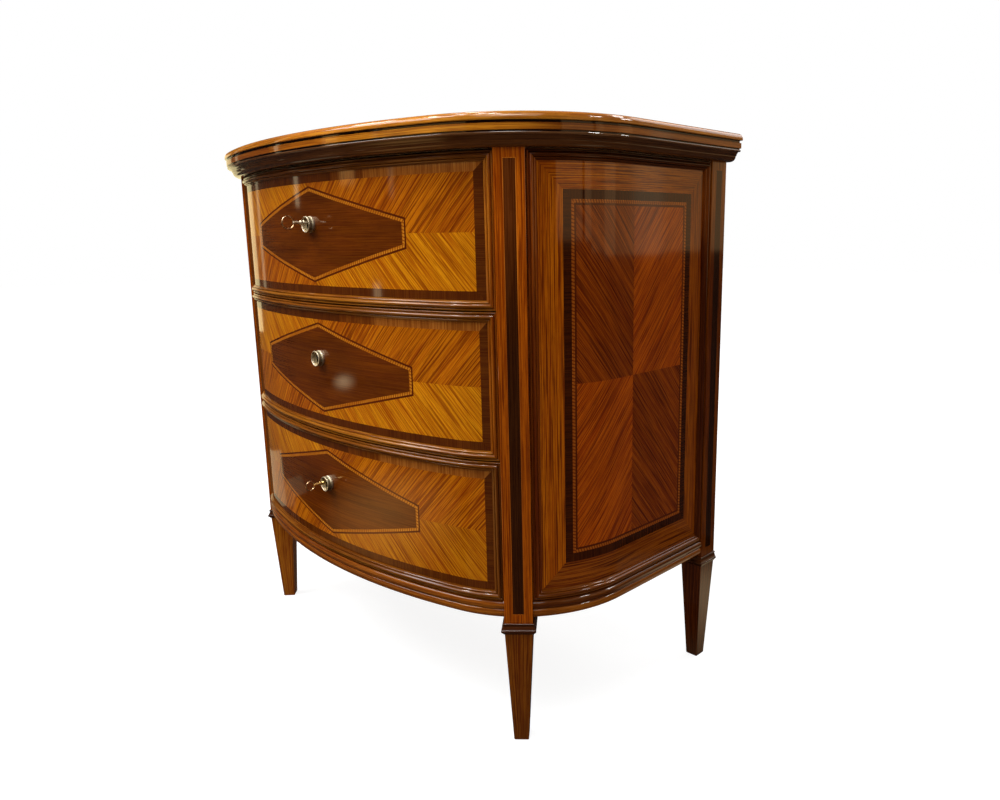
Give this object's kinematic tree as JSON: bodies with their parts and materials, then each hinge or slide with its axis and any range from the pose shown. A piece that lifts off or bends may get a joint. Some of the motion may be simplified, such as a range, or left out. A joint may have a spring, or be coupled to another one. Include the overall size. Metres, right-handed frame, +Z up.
{
  "type": "demilune chest of drawers",
  "caption": "Bow-fronted demilune chest of drawers with quarter-matched marquetry, mitred frames, turnable keys and square tapered legs with collars.",
  "frame": {"origin": "centre of the bounding box on the floor plane", "axes": "+X to the viewer's right when facing the drawers, +Y to the straight back, +Z up"},
  "size_m": [0.9046, 0.531, 0.88],
  "materials": {
    "veneer": "high-gloss polished tulipwood-coloured veneer",
    "moulding": "polished reddish-brown wood",
    "dark_moulding": "polished dark wood",
    "inner_wood": "plain unpolished softwood",
    "silvered": "aged silver-coloured metal",
    "brass": "aged brass",
    "steel": "plain steel"
  },
  "bodies": {
    "carcase": {"top_board": "veneer", "cornice_moulding": "moulding", "sub_top": "inner_wood", "post_front_left": "moulding", "post_rear_left": "moulding", "collar_front_left": "dark_moulding", "collar_rear_left": "dark_moulding", "side_panel_left": "veneer", "side_frame_left": "moulding", "base_moulding_left": "moulding", "partition_left": "inner_wood", "post_front_right": "moulding", "post_rear_right": "moulding", "collar_front_right": "dark_moulding", "collar_rear_right": "dark_moulding", "side_panel_right": "veneer", "side_frame_right": "moulding", "base_moulding_right": "moulding", "partition_right": "inner_wood", "base_moulding_front": "moulding", "base_board": "inner_wood", "back_panel": "inner_wood", "rail_upper": "inner_wood", "rail_lower": "inner_wood", "runner_top_left": "inner_wood", "runner_top_right": "inner_wood", "runner_middle_left": "inner_wood", "runner_middle_right": "inner_wood"},
    "drawer_top": {"drawer_top_front": "veneer", "drawer_top_frame": "moulding", "drawer_top_side_left": "inner_wood", "drawer_top_side_right": "inner_wood", "drawer_top_back": "inner_wood", "drawer_top_bottom": "inner_wood", "drawer_top_lock_case": "brass", "drawer_top_escutcheon": "silvered"},
    "drawer_middle": {"drawer_middle_front": "veneer", "drawer_middle_frame": "moulding", "drawer_middle_side_left": "inner_wood", "drawer_middle_side_right": "inner_wood", "drawer_middle_back": "inner_wood", "drawer_middle_bottom": "inner_wood", "drawer_middle_lock_case": "brass", "drawer_middle_escutcheon": "silvered"},
    "drawer_bottom": {"drawer_bottom_front": "veneer", "drawer_bottom_frame": "moulding", "drawer_bottom_side_left": "inner_wood", "drawer_bottom_side_right": "inner_wood", "drawer_bottom_back": "inner_wood", "drawer_bottom_bottom": "inner_wood", "drawer_bottom_lock_case": "brass", "drawer_bottom_escutcheon": "silvered"},
    "bolt_top": {"drawer_top_bolt": "steel"},
    "bolt_middle": {"drawer_middle_bolt": "steel"},
    "bolt_bottom": {"drawer_bottom_bolt": "steel"},
    "key_top": {"key_top": "silvered"},
    "key_bottom": {"key_bottom": "brass"}
  },
  "joints": [
    {"name": "drawer_top_slide", "type": "slide", "parent": "carcase", "child": "drawer_top", "axis": [0, -1, 0], "range_m": [0, 0.3]},
    {"name": "drawer_middle_slide", "type": "slide", "parent": "carcase", "child": "drawer_middle", "axis": [0, -1, 0], "range_m": [0, 0.3]},
    {"name": "drawer_bottom_slide", "type": "slide", "parent": "carcase", "child": "drawer_bottom", "axis": [0, -1, 0], "range_m": [0, 0.3]},
    {"name": "bolt_top_slide", "type": "slide", "parent": "drawer_top", "child": "bolt_top", "axis": [0, 0, 1], "range_m": [0, 0.009]},
    {"name": "bolt_middle_slide", "type": "slide", "parent": "drawer_middle", "child": "bolt_middle", "axis": [0, 0, 1], "range_m": [0, 0.009]},
    {"name": "bolt_bottom_slide", "type": "slide", "parent": "drawer_bottom", "child": "bolt_bottom", "axis": [0, 0, 1], "range_m": [0, 0.009]},
    {"name": "key_top_turn", "type": "hinge", "parent": "drawer_top", "child": "key_top", "pos_m": [0, -0.218, 0.75305], "axis": [0, 1, 0], "range_deg": [0, 180]},
    {"name": "key_bottom_turn", "type": "hinge", "parent": "drawer_bottom", "child": "key_bottom", "pos_m": [0, -0.218, 0.34245], "axis": [0, 1, 0], "range_deg": [0, 180]}
  ],
  "couplings": [
    {"joint": "key_top_turn", "follows": "bolt_top_slide", "rad_per_m": 349},
    {"joint": "key_bottom_turn", "follows": "bolt_bottom_slide", "rad_per_m": 349}
  ]
}
